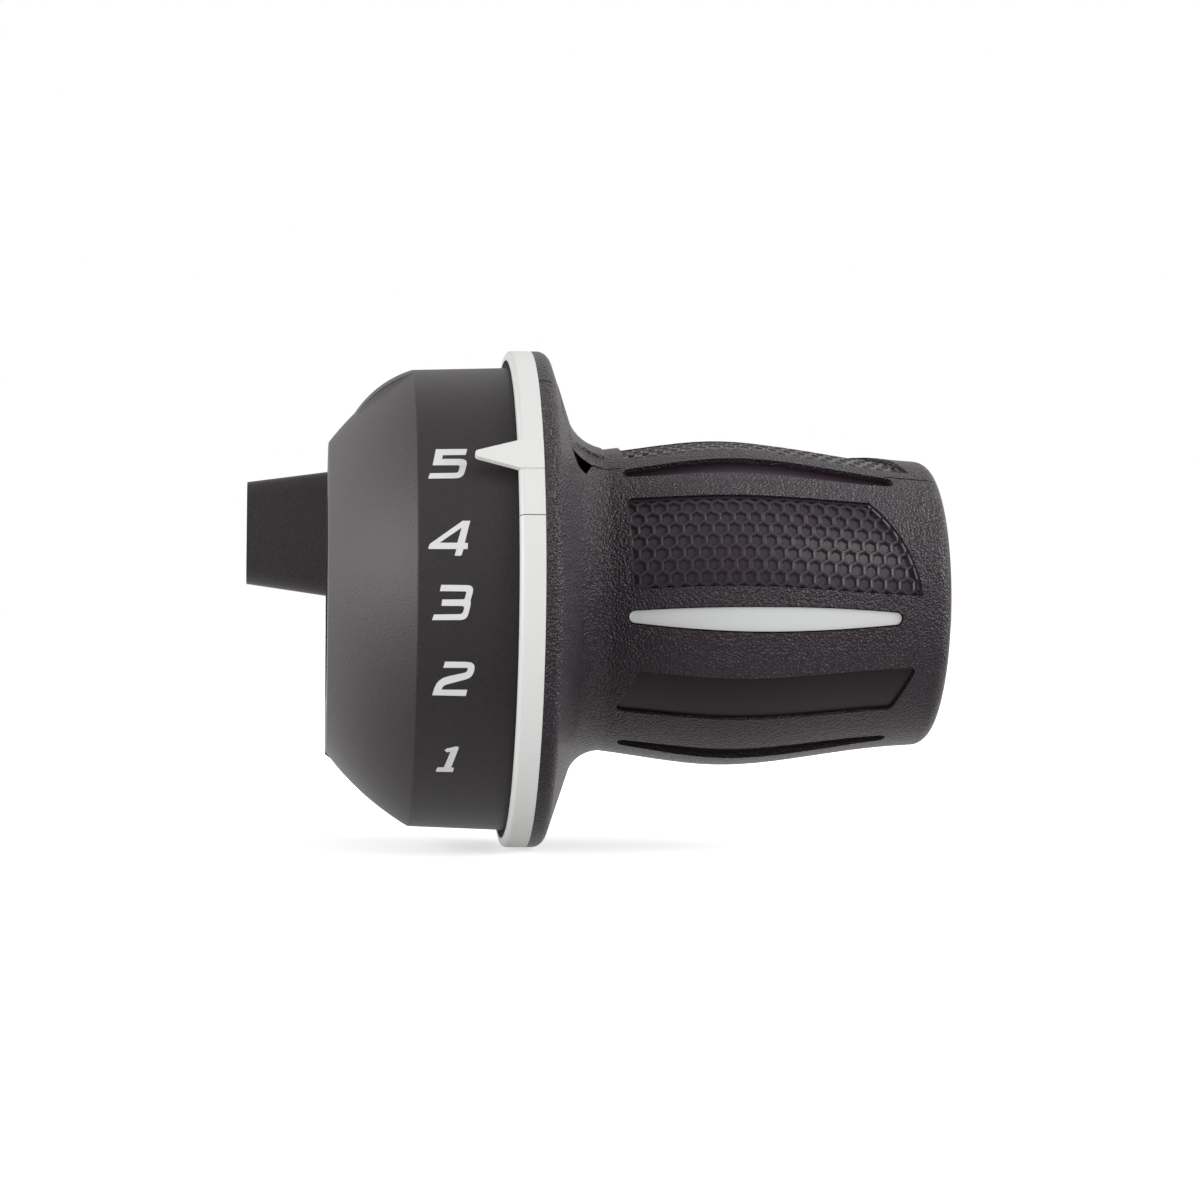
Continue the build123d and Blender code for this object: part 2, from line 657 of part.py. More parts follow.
def make_indicator_ring():
    section = FilletPolyline(
        (ring_left, ring_bore_r),
        (ring_left, ring_r),
        (ring_right, ring_r),
        (ring_right, ring_bore_r),
        radius=(RING_EDGE, 0),
    )
    ring = turned([
        section,
        Polyline(
            (ring_right, ring_bore_r),
            (flange_right, ring_bore_r),
            (flange_right, foot_r),
            (flange_left, foot_r),
            (flange_left, ring_bore_r),
            (ring_left, ring_bore_r),
        ),
    ])
    half_split = RING_SPLIT / 2
    ring -= block(
        ring_left - OVERSHOOT, flange_right + OVERSHOOT, foot_r - OVERSHOOT, ring_r + OVERSHOOT,
        -half_split, half_split, RING_SPLIT_ANGLE,
    )
    # The pointer is a flat wedge, so its edges stand a little above the ring
    half = POINTER_BASE / 2
    outline = FilletPolyline(
        (ring_right, -half),
        (ring_left, -half),
        (ring_left - POINTER_LENGTH - POINTER_TIP, 0),
        (ring_left, half),
        (ring_right, half),
        radius=(0, POINTER_TIP, 0),
    )
    underside = Plane.XZ.offset(ring_r + POINTER_RISE - POINTER_THICKNESS)
    plate = underside * make_face([outline, Line((ring_right, half), (ring_right, -half))])
    return ring + at_angle(POINTER_ANGLE) * extrude(plate, POINTER_THICKNESS)


def make_accent_strip():
    strip = prism(lens_outline(STRIP_MARGIN), SLOT_ANGLE) & outside_barrel(STRIP_DEPTH)
    return strip - outside_barrel(STRIP_SUNK)


def make_label_plate():
    plate = prism(label_outline(SEAT_GAP), LABEL_ANGLE) & outside_barrel(LABEL_DEPTH)
    return plate - outside_barrel(LABEL_SUNK)


# Places that several pieces share
bolt_end = EAR_THICKNESS + NUT_THICKNESS + BOLT_TAIL
spring_left = (rim_left + spool_right - SPRING_WIDTH) / 2
spring_right = spring_left + SPRING_WIDTH

grip_tube = make_grip_tube()
pieces = {
    "housing": make_housing(),
    "clamp_bolt": make_clamp_bolt(),
    "clamp_nut": make_clamp_nut(),
    "retaining_clip": make_retaining_clip(),
    "detent_spring": make_detent_spring(),
    "cable_spool": make_cable_spool(),
    "grip_tube": grip_tube,
    "grip_sleeve": make_grip_sleeve(grip_tube),
    "indicator_ring": make_indicator_ring(),
    "accent_strip": make_accent_strip(),
    "label_plate": make_label_plate(),
}
os.makedirs("parts", exist_ok=True)
for name, piece in pieces.items():
    export_step(piece, f"parts/{name}.step")
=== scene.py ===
from math import cos, degrees, radians, sin, sqrt

import bmesh
import bpy
from mathutils import Matrix, Vector


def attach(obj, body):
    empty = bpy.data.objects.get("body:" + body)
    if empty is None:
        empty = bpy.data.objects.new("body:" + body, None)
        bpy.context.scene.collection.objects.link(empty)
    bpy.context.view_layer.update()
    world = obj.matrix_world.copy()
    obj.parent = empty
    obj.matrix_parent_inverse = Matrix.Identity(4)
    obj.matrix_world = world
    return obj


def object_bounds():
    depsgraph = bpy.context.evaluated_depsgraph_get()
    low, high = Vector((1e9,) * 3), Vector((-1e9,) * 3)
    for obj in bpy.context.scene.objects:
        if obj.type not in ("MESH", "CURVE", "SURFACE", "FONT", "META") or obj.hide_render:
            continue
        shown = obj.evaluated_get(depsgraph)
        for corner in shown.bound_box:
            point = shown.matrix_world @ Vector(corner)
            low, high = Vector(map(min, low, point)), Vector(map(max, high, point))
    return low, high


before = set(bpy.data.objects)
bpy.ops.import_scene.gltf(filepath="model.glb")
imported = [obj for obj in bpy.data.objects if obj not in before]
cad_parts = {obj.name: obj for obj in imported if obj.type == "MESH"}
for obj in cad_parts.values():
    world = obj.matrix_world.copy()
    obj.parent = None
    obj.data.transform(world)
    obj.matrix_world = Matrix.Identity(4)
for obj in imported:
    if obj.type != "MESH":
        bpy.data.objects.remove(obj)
cad_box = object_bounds()

MM = 0.001

# Sizes of the CAD part that the added pieces sit on, in millimetres and degrees
NECK_X, NECK_R, NECK_SLOPE = 29.7, 16.5, 0.12
BELLY_X, BELLY_R, BELLY_SLOPE = 42.2, 18.0, 0.0277
BARREL_END_X, BARREL_END_R, BARREL_END_SLOPE = 64.32, 15.72, -0.05
BAND_START_X, BAND_START_R = 8.95, 24.83
BAND_END_X, BAND_END_R = 20.77, 25.28
FACE_R, SHOULDER_CROWN = 16.8, 0.6
FAIRING_START_X, FAIRING_CROWN, FAIRING_FROM = 2.0, 0.98, 76.0

# Distance in millimetres within which two places are taken as one
SAME_PLACE = 0.001


# Colour, node and mesh helpers

def linear(code):
    """An sRGB hex colour as the linear RGBA that Blender's sockets take."""
    channels = [int(code[i:i + 2], 16) / 255 for i in (1, 3, 5)]
    return [c / 12.92 if c <= 0.04045 else ((c + 0.055) / 1.055) ** 2.4 for c in channels] + [1.0]


def add(tree, kind, settings=None, inputs=None):
    """Add a node: settings are its own fields, inputs the values or links of its sockets."""
    node = tree.nodes.new(kind)
    for field, value in (settings or {}).items():
        setattr(node, field, value)
    for socket, value in (inputs or {}).items():
        if isinstance(value, bpy.types.NodeSocket):
            tree.links.new(value, node.inputs[socket])
        else:
            node.inputs[socket].default_value = value
    return node


def new_tree(name):
    """A new material and its empty node tree."""
    material = bpy.data.materials.new(name)
    material.use_nodes = True
    tree = material.node_tree
    tree.nodes.clear()
    return material, tree


def grains_per_metre(size_mm):
    """Texture scale at which one grain of a noise or cell pattern has a real size."""
    return 1 / (size_mm * MM)


def finish_surface(tree, shader):
    """Make a shader the one that the material shows."""
    add(tree, "ShaderNodeOutputMaterial", inputs={"Surface": shader.outputs[0]})


def place_in_scene(name, data):
    """An object of a mesh, lamp or camera, linked to the scene."""
    thing = bpy.data.objects.new(name, data)
    bpy.context.scene.collection.objects.link(thing)
    return thing


def mesh_piece(name, bm, material, body):
    """Make an object of a finished bmesh and let it ride on a body."""
    bmesh.ops.recalc_face_normals(bm, faces=bm.faces)
    # Recalculating can leave a thin bent piece inside out
    if bm.calc_volume(signed=True) < 0:
        bmesh.ops.reverse_faces(bm, faces=bm.faces)
    mesh = bpy.data.meshes.new(name)
    bm.to_mesh(mesh)
    bm.free()
    mesh.materials.append(material)
    piece = place_in_scene(name, mesh)
    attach(piece, body)


# Materials, with their sizes in millimetres

CLOUD = 9.0                             # broad unevenness of the rubber
PEBBLE, WRINKLE = 0.26, 0.22            # the two sizes in its grain
GRAIN_HEIGHT = 0.2
GRAIN_START, GRAIN_FULL = -0.55, -0.25  # from the skin, where the grain fades in


def grained_skin(tree, place):
    """One on the grip's skin and nothing in its slots, which are polished in the mould."""
    parts = add(tree, "ShaderNodeSeparateXYZ", inputs={0: place})
    across = add(tree, "ShaderNodeCombineXYZ", inputs={
        "Y": parts.outputs["Y"], "Z": parts.outputs["Z"],
    })
    radius = add(tree, "ShaderNodeVectorMath", {"operation": "LENGTH"}, {0: across.outputs[0]})
    # Two straight slopes stand in for the curve of the skin
    rising = add(tree, "ShaderNodeMapRange", {"clamp": False}, {
        "Value": parts.outputs["X"], "From Min": NECK_X * MM, "From Max": BELLY_X * MM,
        "To Min": NECK_R * MM, "To Max": BELLY_R * MM,
    })
    falling = add(tree, "ShaderNodeMapRange", {"clamp": False}, {
        "Value": parts.outputs["X"], "From Min": BELLY_X * MM, "From Max": BARREL_END_X * MM,
        "To Min": BELLY_R * MM, "To Max": BARREL_END_R * MM,
    })
    skin = add(tree, "ShaderNodeMath", {"operation": "MINIMUM"}, {
        0: rising.outputs[0], 1: falling.outputs[0],
    })
    height = add(tree, "ShaderNodeMath", {"operation": "SUBTRACT"}, {
        0: radius.outputs["Value"], 1: skin.outputs[0],
    })
    share = add(tree, "ShaderNodeMapRange", {"interpolation_type": "SMOOTHSTEP"}, {
        "Value": height.outputs[0], "From Min": GRAIN_START * MM, "From Max": GRAIN_FULL * MM,
    })
    return share.outputs[0]


def moulded_rubber():
    """Thermoplastic rubber from a spark-eroded mould: near black, with a soft
    sheen that its pebbled grain breaks up into small glints."""
    material, tree = new_tree("pebbled_rubber")
    place = add(tree, "ShaderNodeTexCoord").outputs["Object"]
    cloud = add(tree, "ShaderNodeTexNoise", inputs={
        "Vector": place, "Scale": grains_per_metre(CLOUD), "Detail": 3.0,
    })
    colour = add(tree, "ShaderNodeMix", {"data_type": "RGBA"}, {
        "Factor": cloud.outputs["Fac"], "A": linear("#271d24"), "B": linear("#2d232a"),
    })
    pebbles = add(tree, "ShaderNodeTexVoronoi", {"feature": "SMOOTH_F1"}, {
        "Vector": place, "Scale": grains_per_metre(PEBBLE), "Smoothness": 0.4,
    })
    wrinkles = add(tree, "ShaderNodeTexNoise", inputs={
        "Vector": place, "Scale": grains_per_metre(WRINKLE), "Detail": 2.0, "Roughness": 0.5,
    })
    grain = add(tree, "ShaderNodeMath", {"operation": "SUBTRACT"}, {
        0: wrinkles.outputs["Fac"], 1: pebbles.outputs["Distance"],
    })
    height = add(tree, "ShaderNodeMath", {"operation": "MULTIPLY"}, {
        0: grain.outputs[0], 1: grained_skin(tree, place),
    })
    bump = add(tree, "ShaderNodeBump", inputs={
        "Height": height.outputs[0], "Strength": 1.0, "Distance": GRAIN_HEIGHT * MM,
    })
    roughness = add(tree, "ShaderNodeMapRange", inputs={
        "Value": cloud.outputs["Fac"], "To Min": 0.32, "To Max": 0.4,
    })
    shader = add(tree, "ShaderNodeBsdfPrincipled", inputs={
        "Base Color": colour.outputs["Result"], "Roughness": roughness.outputs[0],
        "Normal": bump.outputs[0], "IOR": 1.5,
    })
    finish_surface(tree, shader)
    return material


def speckled_plastic(name, dark, light, grain_mm, roughness, bump_mm):
    """Moulded plastic with a fine even grain, which speckles it and softens its reflections."""
    material, tree = new_tree(name)
    place = add(tree, "ShaderNodeTexCoord").outputs["Object"]
    grain = add(tree, "ShaderNodeTexNoise", inputs={
        "Vector": place, "Scale": grains_per_metre(grain_mm), "Detail": 2.0,
    })
    colour = add(tree, "ShaderNodeMix", {"data_type": "RGBA"}, {
        "Factor": grain.outputs["Fac"], "A": linear(dark), "B": linear(light),
    })
    bump = add(tree, "ShaderNodeBump", inputs={
        "Height": grain.outputs["Fac"], "Strength": 0.5, "Distance": bump_mm * MM,
    })
    shader = add(tree, "ShaderNodeBsdfPrincipled", inputs={
        "Base Color": colour.outputs["Result"], "Roughness": roughness,
        "Normal": bump.outputs[0], "IOR": 1.5,
    })
    finish_surface(tree, shader)
    return material


def plated_steel():
    """Zinc-plated steel: grey and bright, with a faintly clouded gloss."""
    material, tree = new_tree("zinc_plated_steel")
    place = add(tree, "ShaderNodeTexCoord").outputs["Object"]
    clouding = add(tree, "ShaderNodeTexNoise", inputs={
        "Vector": place, "Scale": grains_per_metre(0.8), "Detail": 3.0,
    })
    roughness = add(tree, "ShaderNodeMapRange", inputs={
        "Value": clouding.outputs["Fac"], "To Min": 0.25, "To Max": 0.42,
    })
    shader = add(tree, "ShaderNodeBsdfPrincipled", inputs={
        "Base Color": linear("#b4b5b6"), "Metallic": 1.0, "Roughness": roughness.outputs[0],
    })
    finish_surface(tree, shader)
    return material


rubber = moulded_rubber()
# The same rubber where the mould is polished: a plain skin with a clearer sheen from its lower roughness,
# and a base colour lighter than the grained rubber's, which is painted sheen
smooth_rubber_painted_sheen = speckled_plastic("smooth_rubber_painted_sheen", "#362f34", "#3c343a", 0.3, 0.32, 0.02)
# Filled nylon from an etched mould: satin black, finely freckled
housing_nylon = speckled_plastic("moulded_nylon_black", "#1e191b", "#373234", 0.22, 0.5, 0.06)
# Plain nylon that slides on the bar: dull black
tube_nylon = speckled_plastic("moulded_nylon_tube", "#1c1c1d", "#232324", 0.3, 0.65, 0.02)
# ABS from a smooth mould: clean white, and pale grey, with a soft gloss
white_abs = speckled_plastic("moulded_abs_white", "#d4d4d2", "#d9d9d7", 0.3, 0.38, 0.006)
pale_abs = speckled_plastic("moulded_abs_pale_grey", "#c4c5c5", "#cacbcb", 0.3, 0.35, 0.006)
# Smooth inlay: deeper black than the rubber round it
black_film = speckled_plastic("smooth_black_inlay", "#180f13", "#1d1418", 0.5, 0.34, 0.004)
# Acetal without pigment: waxy off-white
acetal = speckled_plastic("natural_acetal", "#cfcbc0", "#d6d2c8", 0.4, 0.4, 0.006)
# Pad-printed ink: flat white, a little uneven
number_ink = speckled_plastic("pad_printed_ink", "#cdcdcc", "#d6d6d5", 0.35, 0.5, 0.01)
steel = plated_steel()

node_finish = {
    "housing": housing_nylon,
    "clamp_bolt": steel,
    "clamp_nut": steel,
    "retaining_clip": steel,
    "detent_spring": steel,
    "cable_spool": acetal,
    "grip_tube": tube_nylon,
    "grip_sleeve": rubber,
    "indicator_ring": white_abs,
    "accent_strip": pale_abs,
    "label_plate": black_film,
}
for node, material in node_finish.items():
    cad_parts[node].material_slots[0].material = material


# Places round the bar

def round_the_bar(x, sideways, outwards, angle):
    """Point at a distance out from the bar, turned to an angle round it, in metres."""
    turn = radians(angle)
    return Vector((
        x,
        -outwards * cos(turn) + sideways * sin(turn),
        outwards * sin(turn) + sideways * cos(turn),
    )) * MM


def bulged_arc(start, end, bulge):
    """Centre and radius of an arc that bulges to the right of the way from start to end."""
    way = end - start
    radius = (way.length**2 / 4 + bulge**2) / (2 * bulge)
    out = Vector((way.y, -way.x)).normalized()
    return (start + end) / 2 + out * (bulge - radius), radius


# Sloping front edge of the fairing over the cable's way in

EDGE_SPAN = 3.0            # degrees that the slope takes
EDGE_LAP = 0.3             # degrees that its top reaches past the fairing's start
EDGE_FOOT_SUNK = 0.03      # its foot, below the shoulder
EDGE_TOP_SUNK = 0.0075     # its top, below the fairing
EDGE_ROOT = 0.4            # how deep it goes into the shoulder
EDGE_STEPS = 24


def shoulder_radius(x, start_x, crown):
    """Radius of an outline that bulges past the straight cone from a place on."""
    rise = (BAND_START_R - FACE_R) / BAND_START_X
    start = Vector((start_x, FACE_R + rise * start_x))
    centre, radius = bulged_arc(Vector((BAND_START_X, BAND_START_R)), start, crown)
    return centre.y + sqrt(radius**2 - (x - centre.x) ** 2)


def fairing_edge():
    """Three-sided bar, drawn straight with its foot, top and root at heights 0, 1 and -1, then bent."""
    bm = bmesh.new()
    corners = ((-EDGE_SPAN, 0), (EDGE_LAP, 1), (0, -1))
    section = bm.faces.new([bm.verts.new((FAIRING_START_X, turn, level)) for turn, level in corners])
    step = Vector(((BAND_START_X - FAIRING_START_X) / EDGE_STEPS, 0, 0))
    bmesh.ops.spin(
        bm, geom=section.verts[:] + section.edges[:] + [section],
        axis=(1, 0, 0), angle=0, dvec=step, steps=EDGE_STEPS,
    )
    for vert in bm.verts:
        x, turn, level = vert.co
        foot = shoulder_radius(x, 0, SHOULDER_CROWN) - EDGE_FOOT_SUNK
        top = max(foot, shoulder_radius(x, FAIRING_START_X, FAIRING_CROWN) - EDGE_TOP_SUNK)
        radius = foot + (top - foot) * max(level, 0) + EDGE_ROOT * min(level, 0)
        vert.co = round_the_bar(x, 0, radius, FAIRING_FROM + turn)
    mesh_piece("fairing_edge", bm, housing_nylon, "housing_body")


fairing_edge()


# Honeycomb panels in the rubber's four pockets

CELL_PITCH = 1.55
CELL_WALL = 0.42
CELL_EDGE = 0.14           # chamfer along the tops of the walls
CELL_DRAFT = 0.08
CELL_LEAST = 0.3           # share of a whole cell, below which a trimmed one isn't sunk
PANEL_TOP = -0.5           # wall tops, from the skin of the grip
CELL_FLOOR = -0.92
PANEL_FOOT = -1.04
FIRST_CELL_X = 30.85
SPARE_ROWS, SPARE_COLUMNS = 2, 3    # past the pocket, to be trimmed off
POCKET_ANGLES = (22.0, 82.0, 142.0, 202.0)
POCKET_LEFT, POCKET_LEAN, POCKET_HALF = 31.3, 0.4, 5.2
POCKET_LOW_END, POCKET_HIGH_END = 62.67, 57.37
POCKET_BULGE = 0.9
POCKET_CORNER = 0.7
CORNER_FACETS = (22.5, 45.0, 67.5)
END_FACETS = 8


def hermite(x, x0, y0, slope0, x1, y1, slope1):
    """Smooth curve through two points, with a slope at each."""
    span = x1 - x0
    t = (x - x0) / span
    return (
        (2 * t**3 - 3 * t**2 + 1) * y0 + (t**3 - 2 * t**2 + t) * span * slope0
        + (3 * t**2 - 2 * t**3) * y1 + (t**3 - t**2) * span * slope1
    )


def barrel_radius(x):
    """Radius of the grip's skin at a place along the bar."""
    if x < BELLY_X:
        return hermite(x, NECK_X, NECK_R, NECK_SLOPE, BELLY_X, BELLY_R, BELLY_SLOPE)
    return hermite(x, BELLY_X, BELLY_R, BELLY_SLOPE, BARREL_END_X, BARREL_END_R, BARREL_END_SLOPE)


def pocket_lines():
    """Points and outward directions of the lines that bound a pocket."""
    lines = [
        ((POCKET_LEFT + POCKET_LEAN / 2, 0), (-2 * POCKET_HALF, -POCKET_LEAN)),
        ((0, POCKET_HALF), (0, 1)),
        ((0, -POCKET_HALF), (0, -1)),
    ]
    for side, left in ((1, POCKET_LEFT), (-1, POCKET_LEFT + POCKET_LEAN)):
        middle = Vector((left + POCKET_CORNER, side * (POCKET_HALF - POCKET_CORNER)))
        for facet in CORNER_FACETS:
            out = Vector((-cos(radians(facet)), side * sin(radians(facet))))
            lines.append((middle + out * POCKET_CORNER, out))
    low = Vector((POCKET_LOW_END, -POCKET_HALF))
    high = Vector((POCKET_HIGH_END, POCKET_HALF))
    centre, radius = bulged_arc(low, high, POCKET_BULGE)
    for step in range(END_FACETS):
        share = (step + 0.5) / END_FACETS
        out = (low.lerp(high, share) - centre).normalized()
        lines.append((centre + out * radius, out))
    return lines


def honeycomb_panel(name, angle):
    """Flat sheet of cells, trimmed to the pocket, sunk, closed below and bent over the grip."""
    bm = bmesh.new()
    row_pitch = CELL_PITCH * sqrt(3) / 2
    rows = int(POCKET_HALF / row_pitch) + SPARE_ROWS
    columns = int((POCKET_LOW_END - POCKET_LEFT) / CELL_PITCH) + SPARE_COLUMNS
    for row in range(-rows, rows + 1):
        for column in range(columns):
            x = FIRST_CELL_X + (column + row % 2 / 2) * CELL_PITCH
            place = Matrix.Translation((x, row * row_pitch, 0))
            bmesh.ops.create_circle(
                bm, cap_ends=True, segments=6, radius=CELL_PITCH / sqrt(3), matrix=place,
            )
    bmesh.ops.remove_doubles(bm, verts=bm.verts, dist=SAME_PLACE)
    for point, outwards in pocket_lines():
        bmesh.ops.bisect_plane(
            bm, geom=bm.verts[:] + bm.edges[:] + bm.faces[:], dist=SAME_PLACE,
            plane_co=(*point, 0), plane_no=(*outwards, 0), clear_outer=True,
        )
    whole = CELL_PITCH * row_pitch
    cells = [face for face in bm.faces if face.calc_area() > CELL_LEAST * whole]
    for inset, depth in (
        (CELL_WALL / 2 - CELL_EDGE, 0),
        (CELL_EDGE, -CELL_EDGE),
        (CELL_DRAFT, CELL_FLOOR - PANEL_TOP + CELL_EDGE),
    ):
        bmesh.ops.inset_individual(bm, faces=cells, thickness=inset, depth=depth, use_even_offset=True)
    rim = [edge for edge in bm.edges if edge.is_boundary]
    skirt = bmesh.ops.extrude_edge_only(bm, edges=rim)["geom"]
    foot = [vert for vert in skirt if isinstance(vert, bmesh.types.BMVert)]
    bmesh.ops.translate(bm, verts=foot, vec=(0, 0, PANEL_FOOT - PANEL_TOP))
    bmesh.ops.contextual_create(bm, geom=[edge for edge in bm.edges if edge.is_boundary])
    for vert in bm.verts:
        x, sideways, height = vert.co
        radius = barrel_radius(x) + PANEL_TOP + height
        vert.co = round_the_bar(x, sideways, sqrt(radius**2 - sideways**2), angle)
    # The panels' rubber has a lighter base colour than the grip's as painted sheen
    mesh_piece(name, bm, smooth_rubber_painted_sheen, "grip_body")


for number, angle in enumerate(POCKET_ANGLES, 1):
    honeycomb_panel(f"honeycomb_panel_{number}", angle)


# Gear numbers printed on the band, drawn upright on the unrolled band and then slanted

NUMBER_X = 12.23
NUMBER_SLANT = 0.25
NUMBER_HALF = 2.0                   # half of the height that is cut into strips
NUMBER_STRIPS = 8                   # so that a number follows the band
INK_TOP, INK_FOOT = 0.03, -0.09     # from the band's surface
ROUND_STEPS = 4

# Angle round the bar, then outlines: each corner's place, and how far from it its rounding starts
NUMBERS = {
    "number_5": (33.5, [[
        (-1.86, 1.87, 0), (1.34, 1.87, 0), (1.35, 1.1, 0), (-0.95, 1.1, 0), (-0.97, 0.58, 0),
        (1.75, 0.58, 0.85), (1.76, -1.8, 0.75), (-1.78, -1.82, 0), (-1.76, -1.19, 0),
        (1.1, -1.16, 0.28), (1.1, -0.21, 0.27), (-1.72, -0.19, 0),
    ]]),
    "number_4": (14.1, [[
        (0.75, 1.85, 0), (1.52, 1.85, 0), (1.52, -0.49, 0), (1.85, -0.49, 0), (1.97, -1.12, 0),
        (1.55, -1.12, 0), (1.53, -1.81, 0.1), (0.82, -1.81, 0.1), (0.85, -1.12, 0),
        (-2.03, -1.12, 0.17), (-1.97, -0.61, 0),
    ], [
        (0.82, 1.12, 0), (0.77, -0.47, 0), (-1.01, -0.47, 0),
    ]]),
    "number_3": (-1.0, [[
        (-1.4, 1.8, 0), (1.97, 1.8, 0.75), (1.95, 0.23, 0), (2.07, -0.1, 0), (2.11, -1.72, 0.65),
        (-1.4, -1.77, 0), (-1.35, -1.2, 0), (1.51, -1.13, 0.3), (1.51, -0.31, 0.3), (-0.82, -0.32, 0),
        (-0.92, 0.32, 0), (1.32, 0.36, 0.18), (1.32, 1.16, 0.2), (-1.37, 1.16, 0),
    ]]),
    "number_2": (-19.1, [[
        (-0.91, 1.86, 0), (2.28, 1.88, 0.95), (2.27, 0.21, 0.6), (-0.43, -0.7, 0.42),
        (-0.45, -1.17, 0), (2.15, -1.12, 0), (2.2, -1.81, 0), (-1.21, -1.8, 0), (-1.21, 0.02, 1.1),
        (1.59, 0.78, 0.25), (1.6, 1.25, 0.2), (-0.91, 1.21, 0),
    ]]),
    "number_1": (-41.3, [[
        (-0.36, 1.38, 0), (0.56, 1.71, 0), (0.87, 1.7, 0.2), (0.91, -1.31, 0), (1.22, -1.32, 0.15),
        (1.29, -1.97, 0), (-0.49, -2.0, 0.18), (-0.47, -1.36, 0), (0.17, -1.33, 0), (0.19, 1.0, 0),
        (-0.2, 0.9, 0), (-0.44, 1.14, 0),
    ]]),
}


def rounded_outline(corners):
    """Outline with its round corners drawn as curves, and slanted."""
    points = []
    for index, (*place, length) in enumerate(corners):
        corner = Vector(place)
        if not length:
            points.append(corner)
            continue
        before = Vector(corners[index - 1][:2])
        after = Vector(corners[(index + 1) % len(corners)][:2])
        start = corner + (before - corner).normalized() * length
        end = corner + (after - corner).normalized() * length
        for step in range(ROUND_STEPS + 1):
            share = step / ROUND_STEPS
            points.append(start.lerp(corner, share).lerp(corner.lerp(end, share), share))
    return [(x + NUMBER_SLANT * y, y) for x, y in points]


def gear_number(name, angle, outlines):
    """Flat filled outlines, cut into strips and bent over the band."""
    curve = bpy.data.curves.new(name, "CURVE")
    curve.dimensions = "2D"
    curve.fill_mode = "BOTH"
    curve.extrude = (INK_TOP - INK_FOOT) / 2
    for corners in outlines:
        outline = rounded_outline(corners)
        spline = curve.splines.new("POLY")
        spline.points.add(len(outline) - 1)
        for point, (x, y) in zip(spline.points, outline):
            point.co = (x, y, 0, 1)
        spline.use_cyclic_u = True
    flat = bpy.data.objects.new(name, curve)
    bm = bmesh.new()
    bm.from_mesh(bpy.data.meshes.new_from_object(flat))
    bpy.data.objects.remove(flat)
    bmesh.ops.remove_doubles(bm, verts=bm.verts, dist=SAME_PLACE)
    for strip in range(1, NUMBER_STRIPS):
        y = NUMBER_HALF * (2 * strip / NUMBER_STRIPS - 1)
        bmesh.ops.bisect_plane(
            bm, geom=bm.verts[:] + bm.edges[:] + bm.faces[:], dist=SAME_PLACE,
            plane_co=(0, y, 0), plane_no=(0, 1, 0),
        )
    for vert in bm.verts:
        x, y, height = vert.co
        share = (NUMBER_X + x - BAND_START_X) / (BAND_END_X - BAND_START_X)
        skin = BAND_START_R + share * (BAND_END_R - BAND_START_R)
        radius = skin + (INK_TOP + INK_FOOT) / 2 + height
        vert.co = round_the_bar(NUMBER_X + x, 0, radius, angle + degrees(y / skin))
    mesh_piece(name, bm, number_ink, "housing_body")


for name, (angle, outlines) in NUMBERS.items():
    gear_number(name, angle, outlines)


# Floor, light and camera, in metres and watts

MIDDLE = Vector((0.03, 0, 0))
FLOOR_GAP = 0.0002                  # below the part
FLOOR_HALF = 3.0
GLOW_NEAR, GLOW_FAR = 0.04, 0.3     # from under the part, where the paper's glow rises
GLOW_LEAST = 0.6
ROOM_LIGHT = 0.44

# Axis, where the brightness starts and where it is full, and its level
FLOOR_SIDES = (("Y", -0.06, 0.03, 1.0), ("X", 0.02, -0.06, 1.05))
ROOM_SIDES = (("X", -0.3, -0.9, 1.9), ("Z", 0.2, 0.9, 0.42), ("Y", 0.0, 0.9, 0.7))

# Name, place, width, height and power
LAMPS = (
    ("left_softbox", (-0.5, -0.25, 0.04), 0.5, 0.6, 3.6),
    ("right_softbox", (0.55, 0.05, 0.28), 0.3, 0.3, 2.0),
    ("front_softbox", (0.45, -0.3, 0.25), 0.3, 0.3, 1.7),
)

CAMERA_TARGET = Vector((0.0299, 0, 0))
CAMERA_DISTANCE = 0.32
CAMERA_YAW = radians(5.8)
CAMERA_ROLL = radians(0.6)
CAMERA_LENS, CAMERA_SENSOR = 87.36, 36.0    # in millimetres
CAMERA_CLIP = 0.01


def ray_kinds(tree):
    """Whether a ray comes from the camera, and whether a glossy or clear surface sent it on."""
    rays = add(tree, "ShaderNodeLightPath")
    mirrored = add(tree, "ShaderNodeMath", {"operation": "MAXIMUM"}, {
        0: rays.outputs["Is Glossy Ray"], 1: rays.outputs["Is Transmission Ray"],
    })
    return rays.outputs["Is Camera Ray"], mirrored.outputs[0]


def bright_sides(tree, place, sides):
    """Level that rises softly towards each of the sides."""
    parts = add(tree, "ShaderNodeSeparateXYZ", inputs={0: place})
    total = 0.0
    for axis, start, full, level in sides:
        side = add(tree, "ShaderNodeMapRange", {"interpolation_type": "SMOOTHSTEP"}, {
            "Value": parts.outputs[axis], "From Min": start, "From Max": full, "To Max": level,
        })
        both = add(tree, "ShaderNodeMath", {"operation": "ADD"}, {0: total, 1: side.outputs[0]})
        total = both.outputs[0]
    return total


